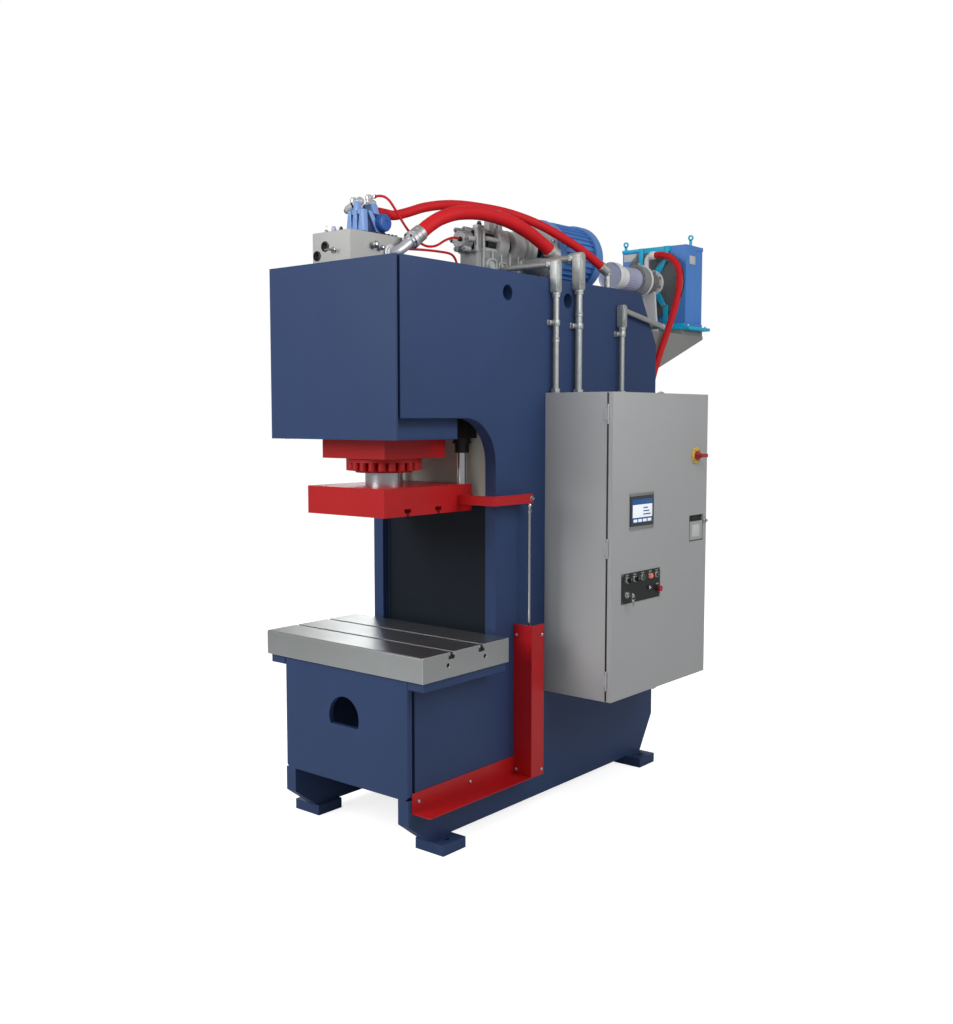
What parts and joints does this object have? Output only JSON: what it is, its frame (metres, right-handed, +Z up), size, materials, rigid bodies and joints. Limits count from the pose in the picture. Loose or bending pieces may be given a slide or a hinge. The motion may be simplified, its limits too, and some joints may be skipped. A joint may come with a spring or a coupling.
{
  "type": "hydraulic press",
  "caption": "Open-throat hydraulic press with a guided ram over a slotted bolster, a side electrical cabinet, a head-mounted pump set and a rear oil cooler.",
  "frame": {"origin": "on the floor, at the centre of the four anchor holes of the foot pads", "axes": "+X to the press's right seen from the front, where the cabinet is; +Y to the rear; +Z up"},
  "size_m": [1.3723, 2.802, 3.062],
  "materials": {
    "navy": "semi-gloss navy paint",
    "dark_paint": "dark paint in shade",
    "grey_paint": "textured grey enclosure paint",
    "red_paint": "gloss red paint",
    "ground_steel": "ground tool steel",
    "hard_chrome": "polished hard chrome",
    "cast_grey": "as-cast grey",
    "black_steel": "black oxide",
    "galvanised": "galvanised",
    "machined_steel": "milled steel",
    "blue_paint": "gloss blue paint",
    "light_blue_paint": "light blue paint",
    "teal_paint": "teal paint",
    "white_paint": "pale paint",
    "panel_white": "white panel paint",
    "black_plastic": "matte black",
    "dark_bezel": "dark grey",
    "green_plastic": "translucent green",
    "lit_plastic": "lit orange red",
    "red_plastic": "gloss red",
    "yellow_plastic": "gloss yellow",
    "nickel": "nickel",
    "hose_red": "smooth red hose cover"
  },
  "bodies": {
    "frame": {"side_plate_left": "navy", "side_plate_right": "navy", "head_front_plate": "navy", "cylinder_housing": "navy", "throat_back_plate": "dark_paint", "throat_upper_panel": "grey_paint", "deck_plate": "navy", "rear_plate": "navy", "bed_plate": "navy", "bolster": "ground_steel", "base_front_plate": "navy", "foot_pads": "navy", "cylinder_barrel": "cast_grey", "ram_flange": "red_paint", "gland_ring": "red_paint", "gland_screws": "red_paint", "guide_blocks": "black_steel", "sensor_tube": "machined_steel", "cable_guard": "red_paint", "cabinet_body": "grey_paint", "cabinet_panel": "panel_white", "conduit_pipes": "galvanised", "conduit_fittings": "galvanised", "manifold_block": "machined_steel", "directional_valve": "light_blue_paint", "prefill_pipe": "hard_chrome", "hose_fittings": "machined_steel", "pump": "cast_grey", "bell_housing": "cast_grey", "motor": "blue_paint", "cooler_shelf": "grey_paint", "oil_cooler": "blue_paint", "fan_guard": "teal_paint", "cooler_motor": "white_paint", "prefill_hose": "hose_red", "return_hose": "hose_red", "cooler_hose": "hose_red", "pilot_line": "hose_red", "pump_line": "hose_red"},
    "ram": {"ram_rod": "hard_chrome", "platen": "red_paint", "guide_rods": "hard_chrome", "sensor_arm": "red_paint", "sensor_rod": "hard_chrome"},
    "door": {"cabinet_door": "grey_paint", "operator_screen": "dark_bezel", "button_panel": "black_plastic", "disconnect_plate": "yellow_plastic"},
    "selector_1": {"selector_left": "black_plastic"},
    "selector_2": {"selector_right": "black_plastic"},
    "green_push": {"green_button": "green_plastic"},
    "lit_push": {"lit_button": "lit_plastic"},
    "return_push": {"return_button": "green_plastic"},
    "stop_push": {"stop_button": "red_plastic"},
    "key": {"key_switch": "nickel"},
    "disconnect": {"disconnect_handle": "red_plastic"},
    "latch": {"latch_handle": "grey_paint"},
    "fan": {"cooler_fan": "black_plastic"},
    "coupling": {"drive_coupling": "black_steel"},
    "handle": {"manifold_handle": "nickel"}
  },
  "joints": [
    {"name": "ram_stroke", "type": "slide", "parent": "frame", "child": "ram", "axis": [0, 0, -1], "range_m": [0, 0.457]},
    {"name": "door_hinge", "type": "hinge", "parent": "frame", "child": "door", "pos_m": [0.78, -0.04, 1.329], "axis": [0, 0, -1], "range_deg": [0, 110]},
    {"name": "selector_left_turn", "type": "hinge", "parent": "door", "child": "selector_1", "pos_m": [0.812, 0.101, 1.164], "axis": [1, 0, 0], "range_deg": [-45, 45]},
    {"name": "selector_right_turn", "type": "hinge", "parent": "door", "child": "selector_2", "pos_m": [0.812, 0.16998, 1.164], "axis": [1, 0, 0], "range_deg": [-45, 45]},
    {"name": "green_button_push", "type": "slide", "parent": "door", "child": "green_push", "axis": [-1, 0, 0], "range_m": [0, 0.004], "stiffness_N_per_m": 900},
    {"name": "lit_button_push", "type": "slide", "parent": "door", "child": "lit_push", "axis": [-1, 0, 0], "range_m": [0, 0.004], "stiffness_N_per_m": 900},
    {"name": "return_button_push", "type": "slide", "parent": "door", "child": "return_push", "axis": [-1, 0, 0], "range_m": [0, 0.004], "stiffness_N_per_m": 900},
    {"name": "stop_button_push", "type": "slide", "parent": "door", "child": "stop_push", "axis": [-1, 0, 0], "range_m": [0, 0.004], "stiffness_N_per_m": 900},
    {"name": "key_turn", "type": "hinge", "parent": "door", "child": "key", "pos_m": [0.812, 0.09701, 1.092], "axis": [1, 0, 0], "range_deg": [0, 60]},
    {"name": "disconnect_turn", "type": "hinge", "parent": "door", "child": "disconnect", "pos_m": [0.82, 0.774, 1.758], "axis": [1, 0, 0], "range_deg": [0, 90]},
    {"name": "latch_lift", "type": "hinge", "parent": "door", "child": "latch", "pos_m": [0.796, 0.79, 1.311], "axis": [0, 1, 0], "range_deg": [0, 45]},
    {"name": "fan_spin", "type": "hinge", "parent": "frame", "child": "fan", "pos_m": [0.11, 1.48, 2.775], "axis": [0, 1, 0], "continuous": true},
    {"name": "pump_shaft_spin", "type": "hinge", "parent": "frame", "child": "coupling", "pos_m": [0, 0.338, 2.85], "axis": [0, 1, 0], "continuous": true},
    {"name": "manifold_handle_turn", "type": "hinge", "parent": "frame", "child": "handle", "pos_m": [-0.04464, -1.03, 2.70774], "axis": [0, 1, 0], "continuous": true}
  ]
}
